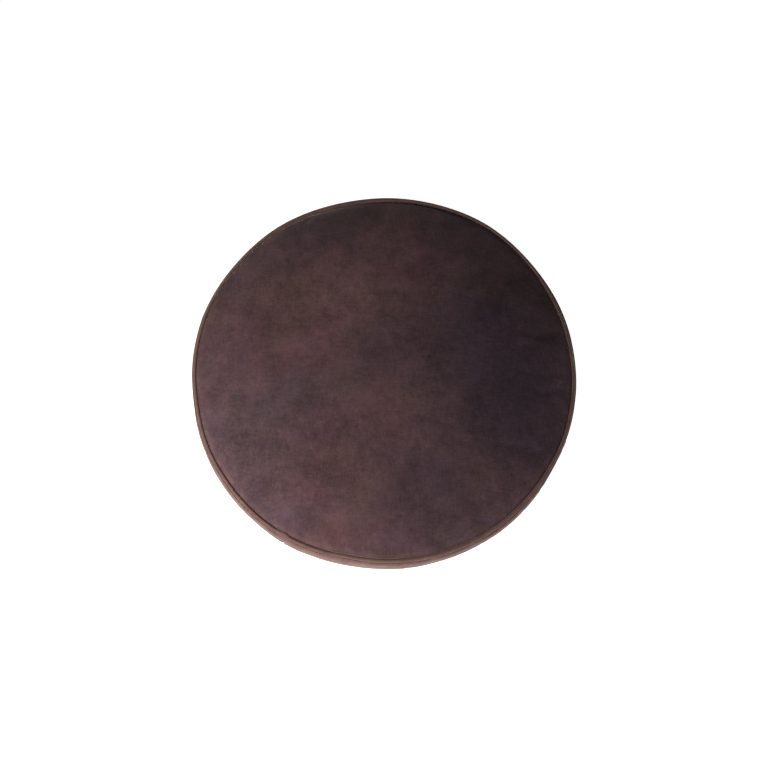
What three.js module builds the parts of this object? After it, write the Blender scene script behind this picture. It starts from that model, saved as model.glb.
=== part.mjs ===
import * as THREE from 'three';

// A round velvet pouf in millimetres. Seen from above, X points right and Y away from the viewer.
// Z points up and the pouf stands on Z = 0. It is a firm filled body, divided at its seams into the
// pieces that a maker cuts: a top panel, a piping, a side panel and a base panel.

// Driving dimensions.
const WIDTH = 500; // across the piping
const HEIGHT = 350; // floor to the middle of the top
const PIPING_DIAMETER = 5;
const ROLL_RISE = 10; // the top's rolled edge over its seam
const DOME_RISE = 13; // the middle of the top over its rolled edge
const ROLL_REACH = 13; // how far in from the seam the rolled edge takes to level out
const BASE_INSET = 12; // the base seam inside the piping's outer edge
const BASE_THICKNESS = 3;
const GAP = 0.3; // between neighbouring pieces
const STEPS_AROUND = 144;
const PIPING_SIDES = 8;
const GROOVE_STEP = 45; // degrees between the points of the groove that holds the piping

const PIPING_RADIUS = PIPING_DIAMETER / 2;
const OUTER_RADIUS = WIDTH / 2;
const PIPING_RING = OUTER_RADIUS - PIPING_RADIUS;
const SEAM_RADIUS = PIPING_RING - PIPING_RADIUS - GAP;
const SEAM_HEIGHT = HEIGHT - ROLL_RISE - DOME_RISE;
const BASE_RADIUS = OUTER_RADIUS - BASE_INSET;

// How far in from the seam the top panel's rings lie.
const TOP_RINGS = [0, 1.5, 4, 8, 13, 21, 34, 55, 90, 135, 190];

// The side panel's wall from the base seam to its shoulder under the piping: the height over the
// floor, and how far the wall stands out past the piping.
const WALL = [
  { height: 3.3, out: -BASE_INSET },
  { height: 5, out: -7.2 },
  { height: 9, out: -3.4 },
  { height: 16, out: -0.3 },
  { height: 28, out: 2.5 },
  { height: 50, out: 5.0 },
  { height: 85, out: 7.0 },
  { height: 130, out: 8.0 },
  { height: 175, out: 8.0 },
  { height: 220, out: 7.0 },
  { height: 260, out: 5.7 },
  { height: 290, out: 4.7 },
  { height: 310, out: 4.2 },
  { height: 318, out: 3.8 },
  { height: 322, out: 2.6 },
];

// The seam and the piping are not a true circle. Each row is a soft wave at an azimuth, with its
// spread in degrees, how far it pushes the seam out, and how far it lifts it.
const RIM_WAVES = [
  { at: 18, spread: 10, out: 0.5, lift: 0.4 },
  { at: 57, spread: 16, out: 1.6, lift: -0.8 },
  { at: 102, spread: 12, out: -1.6, lift: 0.5 },
  { at: 127, spread: 10, out: 1.4, lift: -0.3 },
  { at: 161, spread: 11, out: 1.2, lift: -0.6 },
  { at: 192, spread: 11, out: -2.0, lift: 0.4 },
  { at: 241, spread: 10, out: 1.2, lift: -0.4 },
  { at: 260, spread: 7, out: -1.7, lift: 0.5 },
  { at: 283, spread: 7, out: 0.6, lift: -0.5 },
  { at: 304, spread: 10, out: 1.3, lift: 0.3 },
  { at: 329, spread: 9, out: -0.9, lift: 0.2 },
];

// Fuller and slacker places in the filled side: azimuth and spread in degrees, the height of the
// middle, how tall it is, and how far it stands out.
const SIDE_SWELLS = [
  { at: 12, spread: 26, height: 190, tall: 110, out: 1.8 },
  { at: 75, spread: 22, height: 120, tall: 90, out: -2.4 },
  { at: 112, spread: 22, height: 200, tall: 100, out: 2.2 },
  { at: 152, spread: 16, height: 100, tall: 80, out: -2.0 },
  { at: 164, spread: 9, height: 318, tall: 14, out: 2.2 },
  { at: 188, spread: 20, height: 170, tall: 90, out: 1.8 },
  { at: 225, spread: 18, height: 100, tall: 80, out: -2.0 },
  { at: 264, spread: 20, height: 90, tall: 70, out: 1.6 },
  { at: 304, spread: 20, height: 110, tall: 80, out: -1.8 },
  { at: 338, spread: 16, height: 230, tall: 70, out: -1.8 },
];

// Soft mounds and hollows of the filling under the top panel.
const TOP_MOUNDS = [
  { x: -95, y: 70, spread: 70, lift: 1.6 },
  { x: 20, y: -10, spread: 80, lift: -1.4 },
  { x: 110, y: 60, spread: 65, lift: 1.2 },
  { x: 95, y: -110, spread: 60, lift: -1.5 },
  { x: -80, y: -110, spread: 65, lift: 1.3 },
];

// Gathers that run down the wall from the piping: how many go round, their phase in degrees and
// their depth. The two counts drift in and out of step, so no two gathers are alike.
const GATHERS = [
  { count: 19, phase: 12, depth: 0.45 },
  { count: 23, phase: 71, depth: 0.4 },
];
const GATHER_START = 10; // below the seam, where the gathers set in
const GATHER_REACH = 85; // how far down they run before they fade

// The piping's ends lap each other here, and the side panel is closed in line with them.
const JOIN_AZIMUTH = 241;
const JOIN_SPREAD = 2.2;
const JOIN_RISE = 0.8;
const CLOSING_SEAM_DEPTH = 1.1;

/** Height of one soft wave, which is 1 at its middle. */
function wave(distance, spread) {
  return Math.exp(-((distance / spread) ** 2));
}

/** The shorter way round from one azimuth to another, in degrees. */
function turnBetween(from, to) {
  return ((((to - from + 180) % 360) + 360) % 360) - 180;
}

/** The sum of the rows' waves at an azimuth, for one named column. */
function around(rows, azimuth, column) {
  return rows.reduce(
    (sum, row) => sum + row[column] * wave(turnBetween(row.at, azimuth), row.spread),
    0,
  );
}

/** How far the wall stands out past its even shape at an azimuth and height. */
function wallUnevenness(azimuth, height) {
  const swells = SIDE_SWELLS.reduce(
    (sum, row) =>
      sum +
      row.out * wave(turnBetween(row.at, azimuth), row.spread) * wave(height - row.height, row.tall),
    0,
  );
  const below = Math.max(SEAM_HEIGHT - height, 0);
  const gatherShare = (1 - Math.exp(-below / GATHER_START)) * Math.exp(-below / GATHER_REACH);
  const gathers = GATHERS.reduce(
    (sum, row) =>
      sum + row.depth * Math.cos(row.count * THREE.MathUtils.degToRad(azimuth - row.phase)),
    0,
  );
  const closingSeam = CLOSING_SEAM_DEPTH * wave(turnBetween(JOIN_AZIMUTH, azimuth), JOIN_SPREAD);
  const clearOfEnds = 1 - Math.exp(-Math.min(below, height) / GATHER_START);
  return (swells - closingSeam) * clearOfEnds + gathers * gatherShare;
}

/** Moves a point of the even, round pouf to its place on the uneven one. */
function unevenPoint(point) {
  const radius = Math.hypot(point.x, point.y);
  const azimuth = THREE.MathUtils.radToDeg(Math.atan2(point.y, point.x));
  const height = Math.min(point.z / SEAM_HEIGHT, 1);
  const reach = (radius / SEAM_RADIUS) ** 2;
  let out = around(RIM_WAVES, azimuth, 'out') * height ** 2;
  if (point.z < SEAM_HEIGHT - PIPING_RADIUS) {
    out += wallUnevenness(azimuth, point.z);
  }
  const lift = around(RIM_WAVES, azimuth, 'lift') * height ** 2 * reach;
  const stretch = radius > 0 ? 1 + (out * reach) / radius : 1;
  return new THREE.Vector3(point.x * stretch, point.y * stretch, point.z + lift);
}

/** Turns a profile round Z and sets every point where a shaping function puts it. */
function turned(name, profile, material, shape) {
  const points = profile.map(([radius, height]) => new THREE.Vector2(radius, height));
  const geometry = new THREE.LatheGeometry(points, STEPS_AROUND).rotateX(Math.PI / 2);
  const position = geometry.getAttribute('position');
  const point = new THREE.Vector3();
  for (let i = 0; i < position.count; i += 1) {
    const placed = shape(point.fromBufferAttribute(position, i));
    position.setXYZ(i, placed.x, placed.y, placed.z);
  }
  geometry.computeVertexNormals();
  const mesh = new THREE.Mesh(geometry, material);
  mesh.name = name;
  return mesh;
}

/** The crowned top: flat below, rolled over at its edge and domed to the middle. */
function makeTopPanel(material) {
  const floor = SEAM_HEIGHT + GAP / 2;
  const crown = TOP_RINGS.map((inset) => {
    const radius = SEAM_RADIUS - inset;
    const roll = ROLL_RISE * (1 - Math.exp(-inset / ROLL_REACH));
    const dome = DOME_RISE * (1 - (radius / SEAM_RADIUS) ** 2);
    return [radius, floor + roll + dome];
  });
  const profile = [[0, floor], ...crown, [0, HEIGHT]];
  return turned('top_panel', profile, material, (point) => {
    const placed = unevenPoint(point);
    const share = Math.max(point.z - floor, 0) / (HEIGHT - floor);
    TOP_MOUNDS.forEach((mound) => {
      const distance = Math.hypot(point.x - mound.x, point.y - mound.y);
      placed.z += mound.lift * wave(distance, mound.spread) * share;
    });
    return placed;
  });
}

/** The covered cord along the top seam, raised where its two ends lap. */
function makePiping(material) {
  const profile = [];
  for (let side = 0; side <= PIPING_SIDES; side += 1) {
    const turn = ((side % PIPING_SIDES) * 2 * Math.PI) / PIPING_SIDES;
    profile.push([
      PIPING_RING + PIPING_RADIUS * Math.cos(turn),
      SEAM_HEIGHT + PIPING_RADIUS * Math.sin(turn),
    ]);
  }
  return turned('piping', profile, material, (point) => {
    const azimuth = THREE.MathUtils.radToDeg(Math.atan2(point.y, point.x));
    const level = new THREE.Vector3(point.x, point.y, SEAM_HEIGHT);
    const placed = unevenPoint(level);
    placed.z += point.z - SEAM_HEIGHT;
    if (point.z > SEAM_HEIGHT) {
      const share = (point.z - SEAM_HEIGHT) / PIPING_RADIUS;
      placed.z += JOIN_RISE * share * wave(turnBetween(JOIN_AZIMUTH, azimuth), JOIN_SPREAD);
    }
    return placed;
  });
}

/** The filled side: a low barrel that tucks in to the base seam and holds the piping in a groove. */
function makeSidePanel(material) {
  const wall = WALL.map((row) => [OUTER_RADIUS + row.out, row.height]);
  const halfStep = THREE.MathUtils.degToRad(GROOVE_STEP / 2);
  const grooveRadius = (PIPING_RADIUS + GAP) / Math.cos(halfStep);
  const groove = [1, 2, 3].map((step) => {
    const turn = THREE.MathUtils.degToRad(-step * GROOVE_STEP);
    return [
      PIPING_RING + grooveRadius * Math.cos(turn),
      SEAM_HEIGHT + grooveRadius * Math.sin(turn),
    ];
  });
  const profile = [
    [0, BASE_THICKNESS + GAP],
    ...wall,
    ...groove,
    [SEAM_RADIUS, SEAM_HEIGHT - GAP / 2],
    [0, SEAM_HEIGHT - GAP / 2],
  ];
  return turned('side_panel', profile, material, unevenPoint);
}

/** The flat cloth disc that closes the pouf below and lies on the floor. */
function makeBasePanel(material) {
  const profile = [
    [0, 0],
    [BASE_RADIUS, 0],
    [BASE_RADIUS, BASE_THICKNESS],
    [0, BASE_THICKNESS],
  ];
  return turned('base_panel', profile, material, (point) => point);
}

const velvet = new THREE.MeshStandardMaterial({ color: 0x4a3538, roughness: 0.85, metalness: 0 });
const pipingVelvet = new THREE.MeshStandardMaterial({ color: 0x5c4340, roughness: 0.8, metalness: 0 });
const baseCloth = new THREE.MeshStandardMaterial({ color: 0x2a2425, roughness: 0.95, metalness: 0 });

const pouf = new THREE.Group();
pouf.name = 'round_pouf';
pouf.add(
  makeTopPanel(velvet),
  makePiping(pipingVelvet),
  makeSidePanel(velvet),
  makeBasePanel(baseCloth),
);

// The uneven outline is centred on the Z axis.
const middle = new THREE.Box3().setFromObject(pouf, true).getCenter(new THREE.Vector3());
pouf.position.set(-middle.x, -middle.y, 0);

export default pouf;
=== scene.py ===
"""A round velvet pouf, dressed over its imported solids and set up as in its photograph.

Lengths are in metres. Azimuths are in degrees round the pouf's axis, from +X towards +Y.
"""

import logging
import math
from dataclasses import dataclass
from enum import Enum
from typing import NamedTuple

import bpy
import numpy as np
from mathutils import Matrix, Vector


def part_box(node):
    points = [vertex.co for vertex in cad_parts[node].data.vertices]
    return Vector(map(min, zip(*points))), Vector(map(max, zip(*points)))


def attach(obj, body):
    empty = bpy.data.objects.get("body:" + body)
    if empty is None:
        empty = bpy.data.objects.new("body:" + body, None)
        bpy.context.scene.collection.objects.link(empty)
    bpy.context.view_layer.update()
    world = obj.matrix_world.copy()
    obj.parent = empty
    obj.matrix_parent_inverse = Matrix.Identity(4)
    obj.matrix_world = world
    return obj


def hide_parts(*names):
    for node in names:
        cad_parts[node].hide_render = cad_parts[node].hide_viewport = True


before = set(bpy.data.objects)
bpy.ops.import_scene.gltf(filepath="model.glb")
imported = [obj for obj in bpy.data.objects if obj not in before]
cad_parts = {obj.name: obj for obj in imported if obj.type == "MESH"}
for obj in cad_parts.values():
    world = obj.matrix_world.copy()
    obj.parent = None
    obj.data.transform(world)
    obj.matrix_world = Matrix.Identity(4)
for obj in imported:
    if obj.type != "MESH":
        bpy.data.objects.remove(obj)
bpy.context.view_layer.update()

log = logging.getLogger("pouf")

MM = 0.001
FULL_TURN = 360.0
CAD_COLUMNS = 144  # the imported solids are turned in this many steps
FINE_STEPS = 1440  # a smooth line round the pouf is drawn out to this many
FINE_AZIMUTHS = np.arange(FINE_STEPS) * FULL_TURN / FINE_STEPS
JOIN_AZIMUTH = 241.0  # the piping's ends lap here, in line with the side's closing seam
WAVE_LENGTH = 0.314  # a wave texture at scale 1 repeats after this length
TOUCHING = 0.1 * MM  # points closer than this to a line lie on it
MOST_SIDES = 8  # a face with more sides than this closes an opening
PLAIN = (1.0, 1.0, 1.0)  # a pattern that isn't stretched along any axis

Colour = tuple[float, float, float, float]


class Slot(Enum):
    """The record's material slots."""

    VELVET = "velvet"
    PIPING = "piping_velvet"
    BASE = "base_cloth"


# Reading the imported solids


def azimuths_of(points: np.ndarray) -> np.ndarray:
    """Azimuth of each point, from 0 to 360 degrees."""
    return np.degrees(np.arctan2(points[:, 1], points[:, 0])) % FULL_TURN


def radii_of(points: np.ndarray) -> np.ndarray:
    """How far each point is from the upright axis."""
    return np.hypot(points[:, 0], points[:, 1])


def set_round(azimuths: np.ndarray, radii: np.ndarray, heights: np.ndarray) -> np.ndarray:
    """Points at the given azimuths, distances from the axis and heights."""
    turn = np.radians(azimuths)
    return np.stack([radii * np.cos(turn), radii * np.sin(turn), heights], axis=1)


def turn_between(start: float, end: np.ndarray) -> np.ndarray:
    """The shorter way round from one azimuth to others, in degrees."""
    return (end - start + FULL_TURN / 2) % FULL_TURN - FULL_TURN / 2


def soft_wave(distance: np.ndarray, spread: float) -> np.ndarray:
    """A smooth hump that is 1 at no distance and fades over the spread."""
    return np.exp(-((distance / spread) ** 2))


def ease(share: np.ndarray) -> np.ndarray:
    """A smooth step from 0 to 1 as the share goes from 0 to 1."""
    held = np.clip(share, 0.0, 1.0)
    return held * held * (3.0 - 2.0 * held)


def drawn_round(values: np.ndarray) -> np.ndarray:
    """Draws even values round the pouf out to FINE_STEPS, smoothly and through every value.

    Args:
        values: One value or row of values for each even azimuth, first axis round.

    Returns:
        The same line with FINE_STEPS values round.
    """
    waves = np.fft.rfft(values, axis=0)
    return np.fft.irfft(waves, FINE_STEPS, axis=0) * FINE_STEPS / len(values)


def read_round(fine: np.ndarray, azimuths: np.ndarray) -> np.ndarray:
    """Reads a line drawn by drawn_round at any azimuths.

    Args:
        fine: FINE_STEPS values or rows of values round the pouf.
        azimuths: Where to read it, in degrees.

    Returns:
        One value or row for each azimuth.
    """
    place = (azimuths % FULL_TURN) / FULL_TURN * FINE_STEPS
    low = np.floor(place).astype(int)
    share = place - low
    if fine.ndim > 1:
        share = share[:, None]
    start = fine[low % FINE_STEPS]
    return start + (fine[(low + 1) % FINE_STEPS] - start) * share


def along_rows(knots: np.ndarray, rows: np.ndarray, at: np.ndarray) -> np.ndarray:
    """Follows a smooth curve through rows of values, each point on its own set of rows.

    Args:
        knots: Rising positions of the rows.
        rows: Values at the knots, one line of them for each point.
        at: The position that each point asks for.

    Returns:
        One value for each point.
    """
    slopes = np.gradient(rows, knots, axis=1)
    index = np.clip(np.searchsorted(knots, at) - 1, 0, len(knots) - 2)
    span = knots[index + 1] - knots[index]
    share = np.clip((at - knots[index]) / span, 0.0, 1.0)
    line = np.arange(len(at))
    start, end = rows[line, index], rows[line, index + 1]
    leave, arrive = slopes[line, index] * span, slopes[line, index + 1] * span
    back = 1.0 - share
    return (
        start * (1.0 + 2.0 * share) * back**2
        + leave * share * back**2
        + end * share**2 * (3.0 - 2.0 * share)
        - arrive * share**2 * back
    )


class PoufAxis:
    """The upright line that every solid was turned about."""

    def __init__(self) -> None:
        """Takes the axis from the base panel, which is an even disc."""
        low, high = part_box("base_panel")
        self.middle = np.array([(low.x + high.x) / 2, (low.y + high.y) / 2, 0.0])
        self.base_radius = (high.x - low.x) / 2
        self.base_top = high.z


class TurnedSolid:
    """A packed turned solid, read back as columns of points round the axis."""

    def __init__(self, node: str, axis: PoufAxis) -> None:
        """Sorts the node's points into its columns.

        Args:
            node: The name of the CAD node.
            axis: The pouf's axis.
        """
        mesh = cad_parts[node].data
        points = np.array([tuple(vertex.co) for vertex in mesh.vertices]) - axis.middle
        points = np.unique(points.round(6), axis=0)
        radii = radii_of(points)
        self.poles = points[radii < MM]
        points, radii = points[radii >= MM], radii[radii >= MM]
        step = FULL_TURN / CAD_COLUMNS
        column = np.round(azimuths_of(points) / step).astype(int) % CAD_COLUMNS
        self.columns = [
            np.stack([radii[column == k], points[column == k, 2]], axis=1) for k in range(CAD_COLUMNS)
        ]

    def rows_outside_in(self) -> np.ndarray:
        """Radius and height of every row, from the widest row in, columns first."""
        return np.array([column[np.argsort(-column[:, 0])] for column in self.columns])

    def rows_below(self, height: float) -> np.ndarray:
        """Radius and height of every row under a height, from the lowest up, columns first."""
        kept = [column[column[:, 1] < height] for column in self.columns]
        return np.array([column[np.argsort(column[:, 1])] for column in kept])


class Drift(NamedTuple):
    """A stretch of the top seam that runs a little outside its even line, or inside it."""

    at: float
    spread: float
    out: float


SEAM_DRIFTS = (
    Drift(17.0, 15.0, -1.5 * MM),
    Drift(55.0, 14.0, 1.4 * MM),
    Drift(94.0, 12.0, -1.2 * MM),
    Drift(128.0, 20.0, -0.8 * MM),
    Drift(188.0, 11.0, 0.3 * MM),
    Drift(216.0, 6.0, -0.6 * MM),
    Drift(244.0, 7.0, -0.8 * MM),
    Drift(270.0, 16.0, -1.0 * MM),
    Drift(309.0, 9.0, -1.2 * MM),
    Drift(334.0, 7.0, 1.1 * MM),
)


class SeamPath:
    """The line of the piping's cord along the top seam, smooth all the way round."""

    def __init__(self, axis: PoufAxis) -> None:
        """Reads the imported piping's middle line.

        Args:
            axis: The pouf's axis.
        """
        columns = TurnedSolid("piping", axis).columns
        inner = np.array([column[:, 0].min() for column in columns])
        outer = np.array([column[:, 0].max() for column in columns])
        lowest = np.array([column[:, 1].min() for column in columns])
        self.cord_radius = float((outer - inner).mean() / 2)
        self.packed_radii = drawn_round((inner + outer) / 2)
        self.radii = self.packed_radii + self.drift(FINE_AZIMUTHS)
        self.heights = drawn_round(lowest + self.cord_radius)
        self.radius = float(self.packed_radii.mean())
        self.height = float(self.heights.mean())

    @staticmethod
    def drift(azimuths: np.ndarray) -> np.ndarray:
        """How far the seam runs outside its packed line at each azimuth."""
        return sum(row.out * soft_wave(turn_between(row.at, azimuths), row.spread) for row in SEAM_DRIFTS)


# Working on a mesh


def start_fresh() -> None:
    """Deselects everything, so that the next primitive is alone."""
    bpy.ops.object.select_all(action="DESELECT")


def vertex_rows(piece: bpy.types.Object, name: str) -> np.ndarray:
    """Reads one row of three numbers for each vertex of a piece.

    Args:
        piece: The piece.
        name: What is read, as Blender names it.

    Returns:
        The rows, in the order of the vertices.
    """
    flat = np.empty(len(piece.data.vertices) * 3, np.float32)
    piece.data.vertices.foreach_get(name, flat)
    return flat.reshape(-1, 3).astype(float)


def take_points(piece: bpy.types.Object) -> np.ndarray:
    """The places of a piece's vertices."""
    return vertex_rows(piece, "co")


def outward(piece: bpy.types.Object) -> np.ndarray:
    """The direction of each vertex's normal."""
    return vertex_rows(piece, "normal")


def put_points(piece: bpy.types.Object, points: np.ndarray) -> None:
    """Sets the places of a piece's vertices."""
    piece.data.vertices.foreach_set("co", points.astype(np.float32).ravel())
    piece.data.update()


def choose_points(piece: bpy.types.Object, chosen: np.ndarray) -> None:
    """Selects the chosen vertices, and what lies wholly between them, in edit mode.

    Args:
        piece: The piece, which is the active object.
        chosen: True for each vertex to select.
    """
    bpy.ops.object.mode_set(mode="OBJECT")
    mesh = piece.data
    mesh.polygons.foreach_set("select", np.zeros(len(mesh.polygons), bool))
    mesh.edges.foreach_set("select", np.zeros(len(mesh.edges), bool))
    mesh.vertices.foreach_set("select", chosen)
    bpy.ops.object.mode_set(mode="EDIT")
    bpy.ops.mesh.select_mode(type="VERT")


def extrude_ring(radius_ratio: float, rise: float) -> None:
    """Extrudes the selected ring of edges, then widens and lifts the new ring.

    Args:
        radius_ratio: The new ring's radius over the old one's.
        rise: How far the new ring is lifted.
    """
    bpy.ops.mesh.extrude_edges_move(TRANSFORM_OT_translate={"value": (0.0, 0.0, rise)})
    bpy.ops.transform.resize(value=(radius_ratio, radius_ratio, 1.0), center_override=(0.0, 0.0, 0.0))


def close_outward() -> None:
    """Turns every face outwards and leaves edit mode."""
    bpy.ops.mesh.select_all(action="SELECT")
    bpy.ops.mesh.normals_make_consistent(inside=False)
    bpy.ops.object.mode_set(mode="OBJECT")


def close_openings(piece: bpy.types.Object) -> None:
    """Closes each open ring of a piece with a flat fan of faces.

    Args:
        piece: The piece, which is the active object.
    """
    choose_points(piece, np.zeros(len(piece.data.vertices), bool))
    bpy.ops.mesh.select_non_manifold(
        extend=False, use_wire=False, use_multi_face=False, use_non_contiguous=False
    )
    bpy.ops.mesh.fill_holes(sides=0)
    bpy.ops.mesh.select_all(action="DESELECT")
    bpy.ops.object.mode_set(mode="OBJECT")
    wide = [len(face.vertices) > MOST_SIDES for face in piece.data.polygons]
    piece.data.polygons.foreach_set("select", wide)
    bpy.ops.object.mode_set(mode="EDIT")
    bpy.ops.mesh.select_mode(type="FACE")
    bpy.ops.mesh.poke()
    close_outward()


def subdivide_once(piece: bpy.types.Object) -> None:
    """Adds one level of smooth subdivision and applies it.

    Args:
        piece: The piece, which is the active object.
    """
    finer = piece.modifiers.new("finer", "SUBSURF")
    finer.levels = 1
    finer.render_levels = 1
    finer.boundary_smooth = "PRESERVE_CORNERS"
    bpy.ops.object.modifier_apply(modifier=finer.name)


def shade_smoothly(piece: bpy.types.Object, sharp_angle: float) -> None:
    """Smooths the shading, apart from sharp edges.

    Args:
        piece: The piece.
        sharp_angle: The angle past which an edge stays sharp, in degrees.
    """
    start_fresh()
    piece.select_set(True)
    bpy.context.view_layer.objects.active = piece
    bpy.ops.object.shade_smooth_by_angle(angle=math.radians(sharp_angle))


def mark_points(piece: bpy.types.Object, name: str, shares: np.ndarray) -> None:
    """Keeps one number for each vertex under a name, for the materials to read."""
    layer = piece.data.attributes.new(name=name, type="FLOAT", domain="POINT")
    layer.data.foreach_set("value", shares.astype(np.float32))


def name_group(piece: bpy.types.Object, name: str, shares: np.ndarray) -> None:
    """Makes a vertex group of the vertices with a share over 0.

    Args:
        piece: The piece.
        name: The group's name.
        shares: Each vertex's share, from 0 to 1.
    """
    group = piece.vertex_groups.new(name=name)
    for index in np.flatnonzero(shares > 0.0):
        group.add([int(index)], float(shares[index]), "REPLACE")


# The filling's pressure


@dataclass(frozen=True)
class Filling:
    """Filling that presses a closed cloth shell out against its seams, as Blender's Cloth."""

    pressure: float = 4.0
    frames: int = 20
    quality: int = 5
    vertex_mass: float = 0.05
    tension: float = 40.0
    bending: float = 0.6
    damping: float = 12.0
    spare: float = 0.01  # how much longer than its place the cloth is cut near its seams
    reach: float = 3.0 * MM  # no point moves further than this

    def press(self, piece: bpy.types.Object, held: np.ndarray, eased: np.ndarray) -> float:
        """Runs the cloth, applies it and holds each point within reach.

        Args:
            piece: The closed shell, which is the active object.
            held: 1 for each vertex that a seam holds in place.
            eased: For each vertex, the share of the spare cloth that it gets.

        Returns:
            The furthest that a point moved.
        """
        name_group(piece, "held", held)
        name_group(piece, "eased", eased)
        before = take_points(piece)
        cloth = piece.modifiers.new("filling", "CLOTH")
        settings = cloth.settings
        settings.quality = self.quality
        settings.mass = self.vertex_mass
        settings.tension_stiffness = self.tension
        settings.compression_stiffness = self.tension
        settings.shear_stiffness = self.tension / 4
        settings.bending_stiffness = self.bending
        settings.tension_damping = self.damping
        settings.compression_damping = self.damping
        settings.shear_damping = self.damping
        settings.vertex_group_mass = "held"
        settings.vertex_group_shrink = "eased"
        settings.shrink_min = 0.0
        settings.shrink_max = -self.spare
        settings.use_pressure = True
        settings.uniform_pressure_force = self.pressure
        settings.effector_weights.gravity = 0.0
        cloth.collision_settings.use_collision = False
        cloth.point_cache.frame_start = 1
        cloth.point_cache.frame_end = self.frames
        for step in range(1, self.frames + 1):
            bpy.context.scene.frame_set(step)
        bpy.ops.object.modifier_apply(modifier=cloth.name)
        bpy.context.scene.frame_set(1)
        moved = take_points(piece) - before
        distance = np.linalg.norm(moved, axis=1)
        furthest = float(distance.max())
        kept = self.reach * np.tanh(distance / self.reach) / np.maximum(distance, 1e-9)
        put_points(piece, before + moved * kept[:, None])
        piece.vertex_groups.clear()
        return furthest


@dataclass(frozen=True)
class Puckers:
    """Small tucks that a sewn seam draws into the cloth beside it."""

    count: int
    width: float
    length: float
    depth: float
    seed: int
    scatter: float = 0.42  # how far a tuck lies from its even place, over the gap between tucks
    widths: tuple[float, float] = (0.7, 1.4)  # the least and most, over the width
    lengths: tuple[float, float] = (0.5, 1.6)
    depths: tuple[float, float] = (0.15, 1.0)
    slant: float = 0.25
    flat_by_seam: float = 2.5 * MM  # the seam holds the cloth flat this close to it

    def depth_at(self, azimuths: np.ndarray, away: np.ndarray, radius: float) -> np.ndarray:
        """How deep the tucks are at each point.

        Args:
            azimuths: The azimuth of each point.
            away: How far each point is from the seam, along the cloth.
            radius: The seam's radius.

        Returns:
            The depth at each point, partly below 0 where the cloth stands up between tucks.
        """
        chance = np.random.default_rng(self.seed)
        step = FULL_TURN / self.count
        depth = np.zeros(len(azimuths))
        for index in range(self.count):
            at = (index + chance.uniform(-self.scatter, self.scatter)) * step
            width = self.width * chance.uniform(*self.widths)
            length = self.length * chance.uniform(*self.lengths)
            amount = self.depth * chance.uniform(*self.depths)
            lean = chance.uniform(-self.slant, self.slant)
            across = np.radians(turn_between(at, azimuths)) * radius - lean * away
            near = np.abs(across) < 4.0 * width
            share = across[near] / width
            tuck = (1.0 - 0.8 * share**2) * np.exp(-(share**2))
            fade = ease(away[near] / self.flat_by_seam) * np.exp(-away[near] / length)
            depth[near] += amount * tuck * fade
        return depth


# Finishes


class Amount:
    """One number in a shader. Arithmetic on it adds Math nodes."""

    def __init__(self, palette: "Palette", socket: bpy.types.NodeSocket) -> None:
        """Wraps a socket of a palette's tree."""
        self.palette = palette
        self.socket = socket

    def combined(self, operation: str, first: object, second: object) -> "Amount":
        """Adds one Math node.

        Args:
            operation: The node's operation.
            first: An Amount or a number.
            second: An Amount or a number.

        Returns:
            The node's result.
        """
        node = self.palette.node("ShaderNodeMath", {"operation": operation}, {0: first, 1: second})
        return Amount(self.palette, node.outputs[0])

    def __add__(self, other: object) -> "Amount":
        """The sum."""
        return self.combined("ADD", self, other)

    def __radd__(self, other: object) -> "Amount":
        """The sum, with the number first."""
        return self.combined("ADD", other, self)

    def __sub__(self, other: object) -> "Amount":
        """The difference."""
        return self.combined("SUBTRACT", self, other)

    def __rsub__(self, other: object) -> "Amount":
        """The difference, with the number first."""
        return self.combined("SUBTRACT", other, self)

    def __mul__(self, other: object) -> "Amount":
        """The product."""
        return self.combined("MULTIPLY", self, other)

    def __rmul__(self, other: object) -> "Amount":
        """The product, with the number first."""
        return self.combined("MULTIPLY", other, self)


class Clouding(NamedTuple):
    """A layer of cloudy noise."""

    stretch: tuple[float, float, float]  # along each axis
    scale: float  # clouds in a metre
    detail: float  # how many finer layers lie on it
    rough: float  # how strong each finer layer is


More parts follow.
